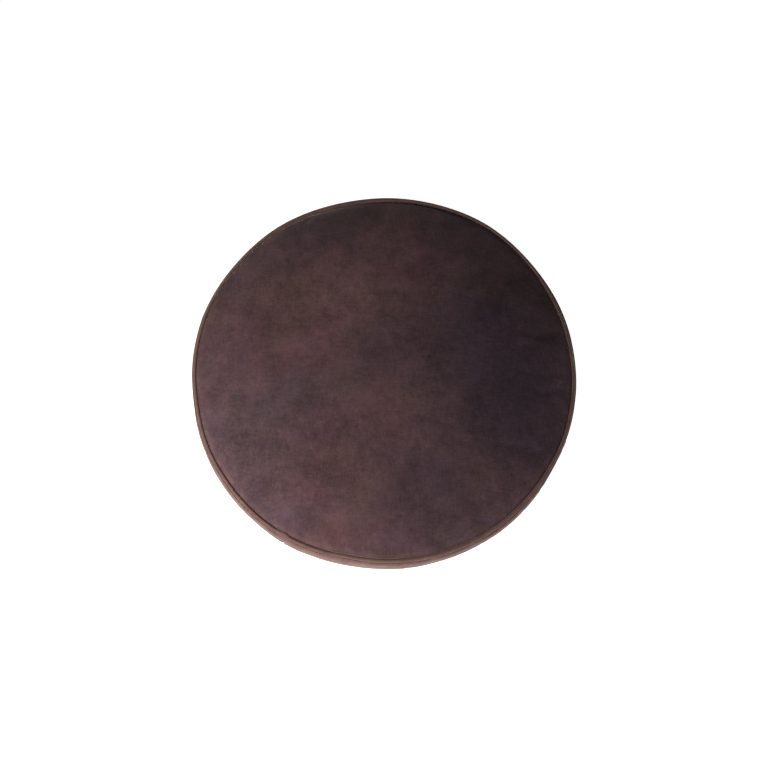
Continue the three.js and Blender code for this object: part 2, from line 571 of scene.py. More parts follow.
class Palette:
    """A node tree, and the one way of adding nodes to it."""

    def __init__(self, owner: bpy.types.Material | bpy.types.World) -> None:
        """Empties a node tree.

        Args:
            owner: The material or world that the tree belongs to.
        """
        owner.use_nodes = True
        self.owner = owner
        self.tree = owner.node_tree
        self.tree.nodes.clear()

    def node(
        self,
        kind: str,
        settings: dict[str, object] | None = None,
        sockets: dict[object, object] | None = None,
    ) -> bpy.types.Node:
        """Adds a node.

        Args:
            kind: The node's type.
            settings: Its settings, which are set first.
            sockets: Values, sockets or Amounts for its inputs, by name or number.

        Returns:
            The node.
        """
        made = self.tree.nodes.new(kind)
        for name, value in (settings or {}).items():
            setattr(made, name, value)
        for key, value in (sockets or {}).items():
            if isinstance(value, Amount):
                self.tree.links.new(value.socket, made.inputs[key])
            elif isinstance(value, bpy.types.NodeSocket):
                self.tree.links.new(value, made.inputs[key])
            else:
                made.inputs[key].default_value = value
        return made

    def place(self, stretch: tuple[float, float, float] = PLAIN) -> bpy.types.NodeSocket:
        """The point on the piece, stretched along each axis."""
        point = self.node("ShaderNodeTexCoord").outputs["Object"]
        return self.node("ShaderNodeMapping", {}, {"Vector": point, "Scale": stretch}).outputs[0]

    def noise(self, layer: Clouding, at: bpy.types.NodeSocket | None = None) -> Amount:
        """Cloudy noise about 0.

        Args:
            layer: The noise's layer.
            at: Where it is read, if not at the point on the piece.

        Returns:
            The noise, from about -0.5 to 0.5.
        """
        sockets = {
            "Vector": at or self.place(layer.stretch),
            "Scale": layer.scale,
            "Detail": layer.detail,
            "Roughness": layer.rough,
        }
        return Amount(self, self.node("ShaderNodeTexNoise", {}, sockets).outputs[0]) - 0.5

    def held(self, amount: Amount) -> Amount:
        """The amount, kept from 0 to 1."""
        node = self.node("ShaderNodeClamp", {}, {0: amount})
        return Amount(self, node.outputs[0])

    def marked(self, name: str) -> Amount:
        """A number that the piece keeps for each vertex."""
        node = self.node("ShaderNodeAttribute", {"attribute_name": name})
        return Amount(self, node.outputs["Fac"])

    def mixed(
        self, share: object, first: object, second: object, how: str = "MIX"
    ) -> bpy.types.NodeSocket:
        """Mixes two colours.

        Args:
            share: How much of the second, an Amount or a number.
            first: A colour or a socket.
            second: A colour or a socket.
            how: The Mix node's blend type.

        Returns:
            The mixed colour.
        """
        settings = {"data_type": "RGBA", "blend_type": how}
        return self.node("ShaderNodeMix", settings, {0: share, 6: first, 7: second}).outputs[2]

    def shaded(self, colour: bpy.types.NodeSocket, level: Amount) -> bpy.types.NodeSocket:
        """A colour made lighter or darker by a level about 1."""
        grey = self.node("ShaderNodeCombineXYZ", {}, {0: level, 1: level, 2: level}).outputs[0]
        return self.mixed(1.0, colour, grey, "MULTIPLY")

    def patches(self, height: float) -> Amount:
        """How much paler or darker the top is painted, as painted light and shade in soft patches.

        Args:
            height: The patches' height over the floor.

        Returns:
            The sum of the patches: painted light above 0, and painted shade below 0 where the pile is
                darker.
        """
        point = self.place()
        faded = []
        for patch in PAINTED_LIGHT_PATCHES:
            turn = math.radians(patch.azimuth)
            middle = (patch.from_middle * math.cos(turn), patch.from_middle * math.sin(turn), height)
            away = self.node("ShaderNodeVectorMath", {"operation": "DISTANCE"}, {0: point, 1: middle})
            fade = {"From Min": 0.0, "From Max": patch.spread, "To Min": patch.paler, "To Max": 0.0}
            smooth = {"interpolation_type": "SMOOTHERSTEP"}
            eased = self.node("ShaderNodeMapRange", smooth, {"Value": away.outputs[1]} | fade)
            faded.append(Amount(self, eased.outputs[0]))
        return sum(faded[1:], faded[0])

    def bumped(
        self, height: Amount, depth: float, below: bpy.types.NodeSocket | None = None
    ) -> bpy.types.NodeSocket:
        """A normal tilted by a height.

        Args:
            height: The height, in units of the depth.
            depth: How far one unit stands out, in metres.
            below: A normal that this one is laid over.

        Returns:
            The normal's socket.
        """
        sockets: dict[object, object] = {"Height": height, "Distance": depth, "Strength": 1.0}
        if below is not None:
            sockets["Normal"] = below
        return self.node("ShaderNodeBump", {}, sockets).outputs[0]

    def finish(self, sockets: dict[object, object]) -> bpy.types.Material:
        """Ends the tree in one Principled shader.

        Args:
            sockets: What the shader's inputs get.

        Returns:
            The material.
        """
        shader = self.node("ShaderNodeBsdfPrincipled", {}, sockets)
        self.node("ShaderNodeOutputMaterial", {}, {"Surface": shader.outputs[0]})
        return self.owner


class PaintedLightPatch(NamedTuple):
    """A soft patch of the top, painted light where it is paler and painted shade where it is darker, in
    place of how the lamps and the pile's sheen light the top.
    """

    azimuth: float
    from_middle: float
    spread: float
    paler: float  # the share of its own brightness that it gains, below 0 where it loses


# painted light and shade: paler patches stand in for the lamps' light and the pile's sheen, darker ones for
# shade on the right, away from the key light
PAINTED_LIGHT_PATCHES = (
    PaintedLightPatch(12.0, 0.152, 0.150, -0.24),
    PaintedLightPatch(118.0, 0.110, 0.095, 0.46),
    PaintedLightPatch(86.0, 0.190, 0.080, 0.42),
    PaintedLightPatch(150.0, 0.150, 0.060, 0.22),
    PaintedLightPatch(285.0, 0.060, 0.070, 0.12),
    PaintedLightPatch(0.0, 0.0, 0.060, -0.12),
    PaintedLightPatch(288.0, 0.180, 0.100, -0.18),
    PaintedLightPatch(335.0, 0.190, 0.115, -0.36),
)


@dataclass(frozen=True)
class VelvetFinish:
    """Short-pile velvet: cloudy, brushed two ways, with painted light and shade in soft patches, and paler
    along a marked edge as a painted highlight with a little rubbing.
    """

    name: str = "plum_velvet"
    plum: Colour = (0.080, 0.036, 0.046, 1.0)
    olive: Colour = (0.071, 0.044, 0.040, 1.0)
    slate: Colour = (0.058, 0.037, 0.055, 1.0)
    # the paler edge tint: a painted highlight and sheen, with a little rubbing
    painted_light_and_wear_tint: Colour = (0.150, 0.088, 0.076, 1.0)
    sheen: float = 0.75
    sheen_roughness: float = 0.35
    sheen_tint: Colour = (1.0, 0.83, 0.74, 1.0)
    specular: float = 0.15
    clouds: Clouding = Clouding(PLAIN, 16.0, 6.0, 0.72)
    mottle: Clouding = Clouding((1.0, 1.0, 1.1), 12.0, 6.0, 0.95)
    tints: Clouding = Clouding((1.0, 1.0, 1.3), 6.4, 6.0, 0.75)
    cools: Clouding = Clouding((1.0, 1.2, 1.0), 8.0, 6.0, 0.75)
    along: Clouding = Clouding((0.16, 1.0, 1.0), 420.0, 2.0, 0.6)
    across: Clouding = Clouding((1.0, 0.16, 0.3), 420.0, 2.0, 0.6)
    grain: Clouding = Clouding(PLAIN, 1500.0, 2.0, 0.7)
    tint_contrast: float = 2.6
    olive_share: float = 0.5
    slate_share: float = 0.25
    slate_where_dark: float = 2.0  # how much more of the slate tint a darker patch has: a painted cool shade
    painted_light_and_wear_share: float = 0.5  # how much of the paler edge tint a fully marked edge has: painted highlight, with a little rubbing
    mottle_strength: float = 2.6
    brush_strength: float = 0.3
    grain_strength: float = 0.25
    lie_depth: float = 1.6 * MM  # how far the brushed pile's swells stand out
    pile_depth: float = 0.12 * MM
    top_height: float = 0.34  # where the patches of painted light and shade lie

    def build(self) -> bpy.types.Material:
        """Makes the material.

        Returns:
            The velvet.
        """
        palette = Palette(bpy.data.materials.new(self.name))
        clouds = palette.noise(self.clouds)
        grain = palette.noise(self.grain)
        brushed = palette.noise(self.along) + palette.noise(self.across)
        # painted light and shade from the patches; the slate tint below also gathers in the painted shade
        paler = palette.patches(self.top_height)
        olive = palette.noise(self.tints) * self.tint_contrast + self.olive_share
        colour = palette.mixed(palette.held(olive), self.plum, self.olive)
        slate = palette.noise(self.cools) * self.tint_contrast
        slate = slate - paler * self.slate_where_dark + self.slate_share
        colour = palette.mixed(palette.held(slate), colour, self.slate)
        # painted highlight and sheen along the marked edge, with a little rubbing
        painted_light_and_wear_mask = palette.held(palette.marked("edge") * (0.55 + clouds * 1.6))
        colour = palette.mixed(painted_light_and_wear_mask * self.painted_light_and_wear_share, colour, self.painted_light_and_wear_tint)
        level = 1.0 + palette.noise(self.mottle) * self.mottle_strength
        level = level + brushed * self.brush_strength + grain * self.grain_strength
        lie = palette.bumped(clouds + brushed * 0.12, self.lie_depth)
        return palette.finish(
            {
                "Base Color": palette.shaded(colour, level * (1.0 + paler)),
                "Roughness": palette.held(0.86 + clouds * 0.15 + grain * 0.1),
                "Normal": palette.bumped(grain + brushed * 0.6, self.pile_depth, lie),
                "Specular IOR Level": self.specular,
                "Sheen Weight": self.sheen,
                "Sheen Roughness": self.sheen_roughness,
                "Sheen Tint": self.sheen_tint,
            }
        )


# the side's pile is brushed down flat, so it catches less light at a slant; the paler band under the piping
# gets a stronger tint instead, painted sheen with some rubbing
SIDE_FINISH = VelvetFinish(name="plum_velvet_side", sheen=0.2, painted_light_and_wear_tint=(0.230, 0.136, 0.114, 1.0))


@dataclass(frozen=True)
class PipingFinish:
    """The same velvet cut on the bias, drawn tight over a cord, its upper half painted paler: painted light
    on the cord's top, with some rubbing.
    """

    name: str = "bias_velvet"
    deep: Colour = (0.085, 0.040, 0.038, 1.0)
    # the paler tint of the cord's upper half: painted light, with some rubbing
    painted_light_and_wear: Colour = (0.130, 0.077, 0.066, 1.0)
    sheen: float = 0.6
    sheen_roughness: float = 0.4
    sheen_tint: Colour = (1.0, 0.80, 0.72, 1.0)
    specular: float = 0.2
    bias: float = 45.0  # the creases' slant across the cord, in degrees
    pitch: float = 2.2 * MM  # between the creases, along the cord
    crease_depth: float = 0.1 * MM
    clouds: Clouding = Clouding(PLAIN, 60.0, 4.0, 0.7)
    grain: Clouding = Clouding(PLAIN, 1500.0, 2.0, 0.7)

    def build(self) -> bpy.types.Material:
        """Makes the material.

        Returns:
            The bias-cut velvet.
        """
        palette = Palette(bpy.data.materials.new(self.name))
        on_cord = palette.node("ShaderNodeUVMap", {"uv_map": "cord"}).outputs[0]
        slant = (0.0, 0.0, math.radians(self.bias))
        turned = palette.node("ShaderNodeMapping", {}, {"Vector": on_cord, "Rotation": slant})
        ribs = palette.node(
            "ShaderNodeTexWave",
            {"wave_type": "BANDS", "bands_direction": "X"},
            {
                "Vector": turned.outputs[0],
                "Scale": WAVE_LENGTH / self.pitch,
                "Distortion": 2.2,
                "Detail": 2.0,
                "Detail Scale": 0.6,
            },
        )
        rib = Amount(palette, ribs.outputs[1]) - 0.5
        clouds = palette.noise(self.clouds, on_cord)
        grain = palette.noise(self.grain)
        # painted light: the cord's upper half is mixed towards the paler tint
        crest_painted_light_and_wear = palette.held(palette.marked("edge") * (0.8 + clouds * 1.2))
        colour = palette.mixed(crest_painted_light_and_wear, self.deep, self.painted_light_and_wear)
        level = 1.0 + clouds * 0.8 + grain * 0.3 + rib * 0.14
        return palette.finish(
            {
                "Base Color": palette.shaded(colour, level),
                "Roughness": palette.held(0.8 + clouds * 0.2),
                "Normal": palette.bumped(rib + grain * 0.5, self.crease_depth),
                "Specular IOR Level": self.specular,
                "Sheen Weight": self.sheen,
                "Sheen Roughness": self.sheen_roughness,
                "Sheen Tint": self.sheen_tint,
            }
        )


@dataclass(frozen=True)
class BaseClothFinish:
    """Plain close-woven base cloth."""

    name: str = "woven_base_cloth"
    dark: Colour = (0.020, 0.017, 0.018, 1.0)
    pale: Colour = (0.046, 0.040, 0.042, 1.0)
    thread: float = 1.1 * MM  # between threads
    thread_depth: float = 0.15 * MM
    specular: float = 0.2
    clouds: Clouding = Clouding(PLAIN, 30.0, 4.0, 0.6)

    def build(self) -> bpy.types.Material:
        """Makes the material.

        Returns:
            The base cloth.
        """
        palette = Palette(bpy.data.materials.new(self.name))
        threads = []
        for direction in ("X", "Y"):
            wave = palette.node(
                "ShaderNodeTexWave",
                {"wave_type": "BANDS", "bands_direction": direction},
                {
                    "Vector": palette.place(),
                    "Scale": WAVE_LENGTH / self.thread,
                    "Distortion": 0.6,
                    "Detail": 1.0,
                },
            )
            threads.append(Amount(palette, wave.outputs[1]))
        weave = threads[0] * threads[1] + (1.0 - threads[0]) * (1.0 - threads[1])
        clouds = palette.noise(self.clouds)
        colour = palette.mixed(palette.held(weave * 0.8 + clouds * 0.4), self.dark, self.pale)
        return palette.finish(
            {
                "Base Color": colour,
                "Roughness": palette.held(0.92 + clouds * 0.1),
                "Normal": palette.bumped(weave, self.thread_depth),
                "Specular IOR Level": self.specular,
            }
        )


@dataclass(frozen=True)
class FloorFinish:
    """A plain pale studio floor that glows a little, so that shadows on it stay faint."""

    name: str = "pale_floor"
    pale: Colour = (0.86, 0.86, 0.86, 1.0)
    roughness: float = 0.9
    specular: float = 0.1
    glow: float = 0.92
    glow_colour: Colour = (1.0, 1.0, 1.0, 1.0)
    clouds: Clouding = Clouding(PLAIN, 2.0, 2.0, 0.5)

    def build(self) -> bpy.types.Material:
        """Makes the material.

        Returns:
            The floor's paint.
        """
        palette = Palette(bpy.data.materials.new(self.name))
        return palette.finish(
            {
                "Base Color": palette.shaded(self.pale, 1.0 + palette.noise(self.clouds) * 0.02),
                "Roughness": self.roughness,
                "Specular IOR Level": self.specular,
                "Emission Color": self.glow_colour,
                "Emission Strength": self.glow,
            }
        )


# The pouf's pieces


def hand_over(piece: bpy.types.Object, node: str, material: bpy.types.Material) -> None:
    """Gives a finished piece its material and body, and lets it stand for its CAD node.

    Args:
        piece: The finished piece.
        node: The CAD node that it replaces.
        material: What it is made of.
    """
    piece.data.materials.clear()
    piece.data.materials.append(material)
    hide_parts(node)
    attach(piece, "root")
    counts = len(piece.data.vertices), len(piece.data.polygons)
    log.info("%s: %d vertices, %d faces", piece.name, *counts)


class EdgeRow(NamedTuple):
    """One place on the rolled edge, as far along the cloth as it is from the seam."""

    cloth: float
    inset: float
    lift: float


@dataclass
class TopVelvet:
    """The round top: a crowned, filled panel whose edge rolls over to the piping."""

    axis: PoufAxis
    seam: SeamPath
    columns: int = 288
    patch_share: float = 0.52  # the middle patch's radius over the seam's
    cell: float = 5.0 * MM
    fill: float = 0.85
    settle: float = 1.0 * MM  # how far the shell starts below its place, before it is pressed out
    filling: Filling = Filling(pressure=0.8, tension=80.0, spare=0.002, reach=6.0 * MM)
    puckers: Puckers = Puckers(count=64, width=3.2 * MM, length=7.0 * MM, depth=0.12 * MM, seed=11)
    smoothing: int = 40  # rounds that even out the middle patch
    smoothed: float = 1.35  # how far out they reach, over the patch's radius
    sewn_width: float = 1.5 * MM  # the cloth that the seam holds still
    slack_width: float = 30.0 * MM  # over which the cloth comes free of the seam
    spare_width: float = 25.0 * MM  # over which the spare cloth fades
    take_up_fade: float = 0.12  # the cloth that the rolled edge takes up is spread over this
    hem_drop: float = 4.0 * MM  # the hem lies this far under the rim, out of sight
    back: float = 88.0  # the rolled edge hangs lower here
    back_spread: float = 34.0
    back_drop: float = 2.6  # over the edge's own lift
    front: float = 232.0  # the edge stands higher here, and its painted highlight is strongest
    front_spread: float = 70.0
    front_rise: float = 0.9 * MM
    front_width: float = 2.2 * MM
    tucks_from: float = 0.8 * MM  # only cloth this far above the cord's middle is tucked
    painted_light_and_wear_at: float = 5.0 * MM  # the paler line's way from the seam: a painted highlight on the rolled edge, with a little rubbing
    painted_light_and_wear_spread: float = 4.0 * MM
    painted_light_and_wear_at_back: float = 0.1  # the share of the paler line that reaches the back, away from the lamp's painted highlight
    sharp_angle: float = 60.0
    edge: tuple[EdgeRow, ...] = (
        EdgeRow(0.0, -0.4 * MM, 1.35 * MM),
        EdgeRow(0.6 * MM, 0.0, 1.55 * MM),
        EdgeRow(1.4 * MM, 0.7 * MM, 1.25 * MM),
        EdgeRow(2.6 * MM, 1.8 * MM, 0.75 * MM),
        EdgeRow(4.2 * MM, 3.3 * MM, 0.45 * MM),
        EdgeRow(6.4 * MM, 5.3 * MM, 0.28 * MM),
        EdgeRow(9.5 * MM, 8.2 * MM, 0.15 * MM),
        EdgeRow(13.0 * MM, 11.5 * MM, 0.06 * MM),
        EdgeRow(18.0 * MM, 16.2 * MM, 0.0),
    )

    def lay_flat(self) -> bpy.types.Object:
        """Lays out the panel flat: a square patch filled into the middle and rings round it.

        Returns:
            The flat panel, with a hem below that close_openings closes later.
        """
        patch = self.seam.radius * self.patch_share
        start_fresh()
        bpy.ops.mesh.primitive_circle_add(vertices=self.columns, radius=patch, location=(0.0, 0.0, 0.0))
        piece = bpy.context.object
        piece.name = "top_velvet"
        bpy.ops.object.mode_set(mode="EDIT")
        bpy.ops.mesh.select_all(action="SELECT")
        bpy.ops.mesh.fill_grid(span=self.columns // 4)
        bpy.ops.object.mode_set(mode="OBJECT")
        choose_points(piece, radii_of(take_points(piece)) > patch - TOUCHING)
        inner_edge = self.seam.radius - self.edge[-1].cloth
        rings = round((inner_edge - patch) / self.cell)
        radii = list(np.linspace(patch, inner_edge, rings + 1))
        radii += [self.seam.radius - row.cloth for row in reversed(self.edge[:-1])]
        for inner, outer in zip(radii, radii[1:]):
            extrude_ring(outer / inner, 0.0)
        extrude_ring(0.985, -1.0 * MM)  # the hem, turned down and in under the edge
        extrude_ring(0.6, 0.0)
        bpy.ops.object.mode_set(mode="OBJECT")
        points = take_points(piece)
        choose_points(piece, (radii_of(points) < patch * self.smoothed) & ~self.in_hem(points))
        for _ in range(self.smoothing):
            bpy.ops.mesh.vertices_smooth(factor=0.5, zaxis=False)
        close_outward()
        return piece

    @staticmethod
    def in_hem(flat: np.ndarray) -> np.ndarray:
        """True for each point of the flat panel that is in its hem."""
        return flat[:, 2] < -TOUCHING

    def crowned(self, flat: np.ndarray) -> np.ndarray:
        """Lifts the flat panel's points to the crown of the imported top.

        Args:
            flat: The flat points.

        Returns:
            The crowned points, round the pouf's axis.
        """
        solid = TurnedSolid("top_panel", self.axis)
        rows = solid.rows_outside_in()
        radii, heights = drawn_round(rows[:, :, 0]), drawn_round(rows[:, :, 1])
        top_pole = solid.poles[:, 2].max()
        azimuths = azimuths_of(flat)
        flat_radius = radii_of(flat)
        cloth = self.seam.radius - flat_radius
        edge_cloth = np.array([row.cloth for row in self.edge])
        take_up = edge_cloth - np.array([row.inset for row in self.edge])
        fade = np.clip((cloth - edge_cloth[-1]) / self.take_up_fade, 0.0, 1.0)
        inset = cloth - np.interp(cloth, edge_cloth, take_up) * (1.0 - fade)
        lift = np.interp(cloth, edge_cloth, np.array([row.lift for row in self.edge]))
        rim = read_round(radii, azimuths)
        rim_radius = rim[:, 0].mean()
        knots = np.append((rim[:, :1] - rim).mean(axis=0), rim_radius)
        levels = read_round(heights, azimuths)
        levels = np.concatenate([levels, np.full((len(flat), 1), top_pole)], axis=1)
        height = along_rows(knots, levels, inset * knots[-1] / self.seam.radius)
        back = soft_wave(turn_between(self.back, azimuths), self.back_spread)
        front = soft_wave(turn_between(self.front, azimuths), self.front_spread)
        height += lift * (1.0 - self.back_drop * back)
        height += self.front_rise * front * soft_wave(cloth, self.front_width)
        share = np.clip(flat_radius / self.seam.radius, 0.0, 1.0)
        radius = np.maximum(rim_radius - inset, 0.0) + (rim[:, 0] - rim_radius) * share**2
        radius += self.seam.drift(azimuths) * share**8
        hem = self.in_hem(flat)
        height[hem] = heights[:, 0].mean() - self.hem_drop
        radius[hem] = flat_radius[hem]
        return set_round(azimuths, radius, height)

    def build(self, velvet: bpy.types.Material) -> bpy.types.Object:
        """Makes the top and dresses it.

        Args:
            velvet: The velvet's material.

        Returns:
            The finished piece.
        """
        piece = self.lay_flat()
        flat = take_points(piece)
        cloth = self.seam.radius - radii_of(flat)
        hem = self.in_hem(flat)
        held = hem | (cloth < self.sewn_width)
        free = ease(cloth / self.slack_width) * (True)
        placed = self.crowned(flat)
        settled = placed.copy()
        settled[:, 2] -= np.where(hem, 0.0, self.settle * free)
        put_points(piece, settled)
        eased = np.where(held, 0.0, np.exp(-cloth / self.spare_width))
        furthest = self.filling.press(piece, held.astype(float), eased)
        over = (take_points(piece) - placed)[~held, 2].mean()
        log.info("top_velvet: moved up to %.1f mm, ends %.2f mm over its place", furthest / MM, over / MM)
        subdivide_once(piece)
        close_openings(piece)
        self.tuck(piece)
        shade_smoothly(piece, self.sharp_angle)
        hand_over(piece, "top_panel", velvet)
        return piece

    def tuck(self, piece: bpy.types.Object) -> None:
        """Adds the fine tucks beside the seam, marks the paler edge that the finish paints as a highlight,
        and sets the piece in place.

        Args:
            piece: The pressed top.
        """
        points = take_points(piece)
        azimuths = azimuths_of(points)
        rim = read_round(self.seam.radii, azimuths) - self.seam.cord_radius
        above = points[:, 2] - read_round(self.seam.heights, azimuths)
        away = np.maximum(rim - radii_of(points), 0.0) + np.maximum(above, 0.0)
        depth = self.puckers.depth_at(azimuths, away, self.seam.radius) * (above > self.tucks_from)
        points -= outward(piece) * depth[:, None]
        put_points(piece, points + self.axis.middle)
        # painted highlight: the rolled edge is marked paler on the lamp side, and only faintly round the
        # back
        front = soft_wave(turn_between(self.front, azimuths), self.front_spread)
        share = self.painted_light_and_wear_at_back + (1.0 - self.painted_light_and_wear_at_back) * front
        mark_points(piece, "edge", soft_wave(away - self.painted_light_and_wear_at, self.painted_light_and_wear_spread) * share)


@dataclass
class SideVelvet:
    """The side: a filled barrel held by the top and base seams and closed by one upright seam."""

    axis: PoufAxis
    seam: SeamPath
    columns: int = 304
    rings: int = 60
    crowding: float = 4.0  # how much closer the columns are at the closing seam
    crowded: float = 2.6  # over how many degrees
    groove: float = 1.3 * MM  # the closing seam's depth
    groove_width: float = 1.3 * MM
    closing_pull: float = 0.35 * MM  # how far the closing seam's stitches pull the cloth beside it
    stitch_wave: float = 5.5 * MM
    pull_at: float = 3.0 * MM
    pull_spread: float = 2.4 * MM
    clearance: float = 0.12 * MM  # between the cloth and the cord
    wall_top: float = 4.0 * MM  # under the cord's middle, where the shoulder takes over
    shoulder: tuple[tuple[float, float], ...] = (
        (5.0 * MM, 2.6 * MM),
        (4.4 * MM, 0.5 * MM),
        (3.5 * MM, -1.2 * MM),
    )  # each row's way out from the cord's middle, and its way below it
    hug: tuple[float, ...] = (33.0, 0.0, -35.0, -75.0, -112.0)  # then it hugs the cord to under it
    back: float = 45.0  # the shoulder is drawn in closer to the piping here
    back_spread: float = 45.0
    back_draw: float = 0.9 * MM
    slump: float = 3.3 * MM  # how far the filling leans out towards one side
    slump_at: float = 246.0
    slump_spread: float = 80.0
    slump_foot: float = 60.0 * MM  # the lean fades over these lengths of cloth by the seams
    slump_head: float = 40.0 * MM
    grading: float = 0.42  # how much closer the rings are at the seams
    lid_drop: float = 5.5 * MM  # the hidden upper end lies this far under the cord's middle
    fill: float = 0.8
    settle: float = 0.2 * MM  # how far the shell starts inside its place
    sewn_foot: float = 2.5 * MM  # the cloth that the seams hold still
    sewn_head: float = 5.5 * MM
    slack_width: float = 40.0 * MM  # over which the cloth comes free, and the spare cloth fades
    flat_by_seam: float = 6.0 * MM  # tucks and groove fade this close to a seam
    painted_light_and_wear_from: float = 6.0 * MM  # the paler band starts this far over the cord's underside: painted sheen, with some rubbing
    painted_light_and_wear_ease: float = 3.0 * MM
    painted_light_and_wear_spread: float = 16.0 * MM
    painted_light_and_wear_strength: float = 1.5
    sharp_angle: float = 60.0
    filling: Filling = Filling(tension=15.0, spare=0.03, reach=4.0 * MM)
    top_puckers: Puckers = Puckers(count=84, width=3.6 * MM, length=20.0 * MM, depth=0.75 * MM, seed=5)
    base_puckers: Puckers = Puckers(count=72, width=4.6 * MM, length=26.0 * MM, depth=0.9 * MM, seed=7)

    def raise_tube(self) -> bpy.types.Object:
        """Makes a straight tube of even columns and rings, one unit tall, with both ends turned in.

        Returns:
            The tube, from 0 to 1 in height and 1 in radius.
        """
        start_fresh()
        bpy.ops.mesh.primitive_cylinder_add(
            vertices=self.columns, radius=1.0, depth=1.0, end_fill_type="NOTHING", location=(0.0, 0.0, 0.5)
        )
        piece = bpy.context.object
        piece.name = "side_velvet"
        bpy.ops.object.transform_apply(location=True, rotation=True, scale=True)
        mesh = piece.data
        upright = [
            abs(mesh.vertices[edge.vertices[0]].co.z - mesh.vertices[edge.vertices[1]].co.z) > 0.5
            for edge in mesh.edges
        ]
        bpy.ops.object.mode_set(mode="EDIT")
        bpy.ops.mesh.select_mode(type="EDGE")
        bpy.ops.mesh.select_all(action="DESELECT")
        bpy.ops.object.mode_set(mode="OBJECT")
        mesh.edges.foreach_set("select", upright)
        bpy.ops.object.mode_set(mode="EDIT")
        bpy.ops.mesh.subdivide(number_cuts=self.rings - 1)
        bpy.ops.object.mode_set(mode="OBJECT")
        for level, rise in ((1.0, 0.1), (0.0, -0.1)):
            choose_points(piece, np.abs(take_points(piece)[:, 2] - level) < TOUCHING)
            extrude_ring(0.9, rise)
            extrude_ring(0.5, 0.0)
            bpy.ops.object.mode_set(mode="OBJECT")
        bpy.ops.object.mode_set(mode="EDIT")
        close_outward()
        return piece

    @staticmethod
    def in_end(tube: np.ndarray) -> np.ndarray:
        """True for each point of the tube that is in one of its turned-in ends."""
        return (tube[:, 2] > 1.01) | (tube[:, 2] < -0.01)

    def crowd_columns(self, azimuths: np.ndarray) -> np.ndarray:
        """Moves even columns closer together at the closing seam.

        Args:
            azimuths: The azimuth of each point in its even column.

        Returns:
            The azimuth of each point in its moved column.
        """
        start = JOIN_AZIMUTH - FULL_TURN / 2
        tenths = round(FULL_TURN * 10) + 1
        spread = start + np.linspace(0.0, FULL_TURN, tenths)
        density = 1.0 + self.crowding * soft_wave(turn_between(JOIN_AZIMUTH, spread), self.crowded)
        running = np.concatenate([[0.0], np.cumsum((density[1:] + density[:-1]) / 2)])
        running *= FULL_TURN / running[-1]
        return np.interp((azimuths - start) % FULL_TURN, running, spread)

    def wall_rows(self) -> tuple[np.ndarray, np.ndarray, np.ndarray]:
        """The wall's rows from the base seam up and on under the piping.

        Returns:
            Each row's place along the cloth, and all rows' radii and heights round the pouf.
        """
        solid = TurnedSolid("side_panel", self.axis)
        rows = solid.rows_below(self.seam.height - self.wall_top)
        radii, heights = drawn_round(rows[:, :, 0]), drawn_round(rows[:, :, 1])
        drawn_in = self.back_draw * soft_wave(turn_between(self.back, FINE_AZIMUTHS), self.back_spread)
        for out, below in self.shoulder:
            radii = np.column_stack([radii, self.seam.packed_radii + out - drawn_in])
            heights = np.column_stack([heights, self.seam.heights - below])
        away = self.seam.cord_radius + self.clearance
        for angle in self.hug:
            turn = math.radians(angle)
            radii = np.column_stack([radii, self.seam.radii + away * math.cos(turn)])
            heights = np.column_stack([heights, self.seam.heights + away * math.sin(turn)])
        steps = np.hypot(np.diff(radii.mean(axis=0)), np.diff(heights.mean(axis=0)))
        return np.concatenate([[0.0], np.cumsum(steps)]), radii, heights

    def barrel(self, tube: np.ndarray) -> tuple[np.ndarray, np.ndarray, np.ndarray]:
        """Sets the tube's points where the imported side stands.

        Args:
            tube: The tube's points.

        Returns:
            The points round the pouf's axis, and how far each is along the cloth from the base
            seam and from the top seam.
        """
        knots, radii, heights = self.wall_rows()
        azimuths = self.crowd_columns(azimuths_of(tube))
        level = np.clip(tube[:, 2], 0.0, 1.0)
        graded = level - self.grading * np.sin(2.0 * math.pi * level) / (2.0 * math.pi)
        along = graded * knots[-1]
        radius = along_rows(knots, read_round(radii, azimuths), along)
        height = along_rows(knots, read_round(heights, azimuths), along)
        bulge = ease(along / self.slump_foot) * ease((knots[-1] - along) / self.slump_head)
        radius += self.slump * bulge * soft_wave(turn_between(self.slump_at, azimuths), self.slump_spread)
        ends = self.in_end(tube)
        radius[ends] *= radii_of(tube)[ends]
        height[ends & (tube[:, 2] > 0.5)] = self.seam.height - self.lid_drop
        height[ends & (tube[:, 2] < 0.5)] = self.axis.base_top
        points = set_round(azimuths, radius, height)
        return points, along, knots[-1] - along

    def build(self, velvet: bpy.types.Material) -> bpy.types.Object:
        """Makes the side and dresses it.

        Args:
            velvet: The velvet's material.

        Returns:
            The finished piece.
        """
        piece = self.raise_tube()
        tube = take_points(piece)
        points, from_base, from_top = self.barrel(tube)
        ends = self.in_end(tube)
        held = ends | (from_base < self.sewn_foot) | (from_top < self.sewn_head)
        nearest = np.minimum(from_base, from_top)
        free = np.where(ends, 0.0, ease(nearest / self.slack_width)) * (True)
        radius = radii_of(points)
        points[:, :2] *= (1.0 - self.settle * free / np.maximum(radius, 0.1))[:, None]
        put_points(piece, points)
        eased = np.where(held, 0.0, np.exp(-nearest / self.slack_width))
        furthest = self.filling.press(piece, held.astype(float), eased)
        out = (radii_of(take_points(piece)) - radius)[~held].mean()
        log.info("side_velvet: moved up to %.1f mm, ends %.2f mm outside its place", furthest / MM, out / MM)
        subdivide_once(piece)
        close_openings(piece)
        self.sew(piece)
        shade_smoothly(piece, self.sharp_angle)
        hand_over(piece, "side_panel", velvet)
        return piece

